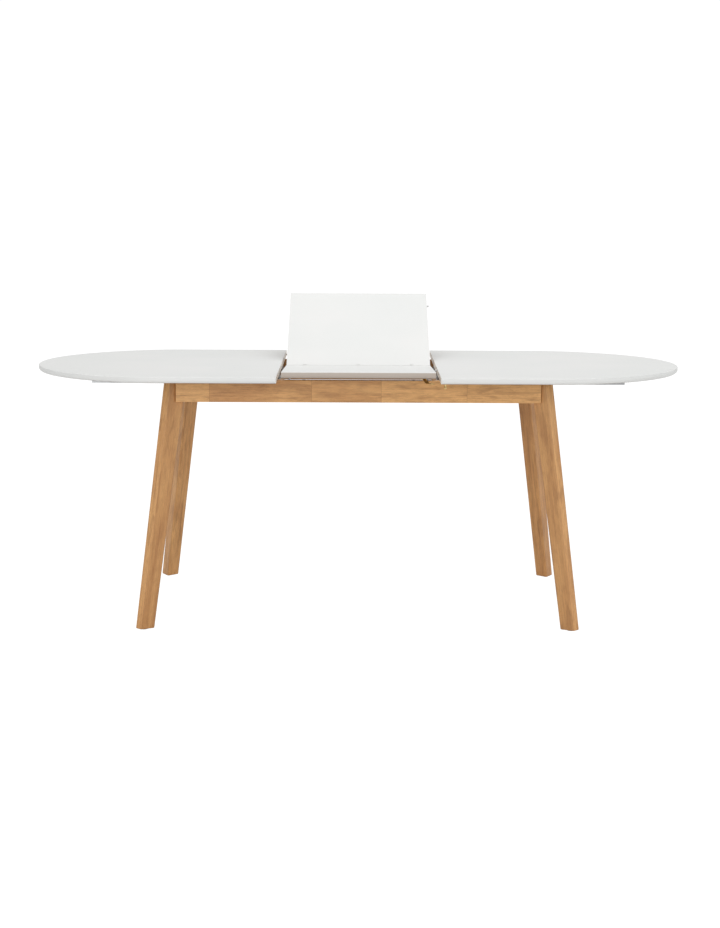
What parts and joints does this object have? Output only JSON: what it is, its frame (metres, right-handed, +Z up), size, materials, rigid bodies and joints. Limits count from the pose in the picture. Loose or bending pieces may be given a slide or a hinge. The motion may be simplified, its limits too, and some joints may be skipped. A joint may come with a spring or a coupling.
{
  "type": "extending dining table",
  "caption": "Oval extending dining table: white top in halves on steel runners, folding middle leaf on a pivot, splayed wooden legs and aprons.",
  "frame": {"origin": "on the floor under the middle of the table", "axes": "+X along the table, +Y to the rear, +Z up"},
  "size_m": [1.962, 0.9, 0.9407],
  "materials": {
    "white_enamel": "white enamelled steel",
    "white_lacquer": "satin white lacquer on fibreboard",
    "wood_leg": "clear satin lacquer, solid pale hardwood",
    "wood_apron": "clear satin lacquer, finger-jointed pale hardwood",
    "wood_inner": "planed, unfinished hardwood",
    "galvanised_steel": "zinc plated, dull",
    "bright_steel": "bright zinc plated",
    "brass": "stamped, lightly brushed",
    "nylon": "moulded, matt",
    "rubber": "matt black"
  },
  "bodies": {
    "frame": {"apron_front": "wood_apron", "apron_left": "wood_apron", "apron_rear": "wood_apron", "apron_right": "wood_apron", "bearer_left": "wood_inner", "bearer_right": "wood_inner", "bearer_screws": "bright_steel", "corner_block_front_left": "wood_inner", "corner_block_front_right": "wood_inner", "corner_block_rear_left": "wood_inner", "corner_block_rear_right": "wood_inner", "guide_rail_left_front": "galvanised_steel", "guide_rail_left_rear": "galvanised_steel", "guide_rail_right_front": "galvanised_steel", "guide_rail_right_rear": "galvanised_steel", "leg_bolts": "bright_steel", "leg_front_left": "wood_leg", "leg_front_right": "wood_leg", "leg_nuts": "bright_steel", "leg_rear_left": "wood_leg", "leg_rear_right": "wood_leg", "leg_washers": "bright_steel", "pivot_bracket_left": "galvanised_steel", "pivot_bracket_right": "galvanised_steel", "bracket_screws": "bright_steel", "rail_screws": "bright_steel", "slide_pads": "nylon", "leaf_bumpers": "rubber", "floor_glides": "nylon"},
    "top_left": {"top_left": "white_lacquer", "runner_left_front": "galvanised_steel", "runner_left_rear": "galvanised_steel", "runner_screws_left": "bright_steel", "align_pin_left": "bright_steel"},
    "top_right": {"top_right": "white_lacquer", "runner_right_front": "galvanised_steel", "runner_right_rear": "galvanised_steel", "runner_screws_right": "bright_steel", "align_pin_right": "bright_steel", "latch_stud": "brass", "stud_screws": "bright_steel"},
    "leaf_front": {"leaf_front": "white_lacquer", "leaf_plate_left": "galvanised_steel", "leaf_plate_right": "galvanised_steel", "leaf_plate_screws": "bright_steel", "pivot_pin_left": "bright_steel", "pivot_pin_right": "bright_steel", "pivot_clips": "bright_steel", "latch_base": "brass", "latch_screws": "bright_steel", "leaf_hinge_front_left": "white_enamel", "leaf_hinge_front_middle": "white_enamel", "leaf_hinge_front_right": "white_enamel"},
    "leaf_rear": {"leaf_rear": "white_lacquer", "align_pin_leaf": "bright_steel", "leaf_hinge_rear_left": "white_enamel", "leaf_hinge_rear_middle": "white_enamel", "leaf_hinge_rear_right": "white_enamel"},
    "latch_lever": {"latch_lever": "brass"}
  },
  "joints": [
    {"name": "top_left_slide", "type": "slide", "parent": "frame", "child": "top_left", "axis": [1, 0, 0], "range_m": [0, 0.0145]},
    {"name": "top_right_slide", "type": "slide", "parent": "frame", "child": "top_right", "axis": [-1, 0, 0], "range_m": [0, 0.0145]},
    {"name": "leaf_pivot", "type": "hinge", "parent": "frame", "child": "leaf_front", "pos_m": [0, -0.134, 0.72], "axis": [1, 0, 0], "range_deg": [-15.45, 3]},
    {"name": "leaf_fold", "type": "hinge", "parent": "leaf_front", "child": "leaf_rear", "pos_m": [0, 0.00141, 0.74345], "axis": [1, 0, 0], "range_deg": [-29.2, 150.3]},
    {"name": "latch_swing", "type": "hinge", "parent": "leaf_front", "child": "latch_lever", "pos_m": [0.185, -0.37418, 0.742], "axis": [0, 0.0523, 0.9986], "range_deg": [0, 61]}
  ],
  "couplings": [
    {"joint": "leaf_pivot", "follows": "leaf_fold", "ratio": -0.10274}
  ]
}
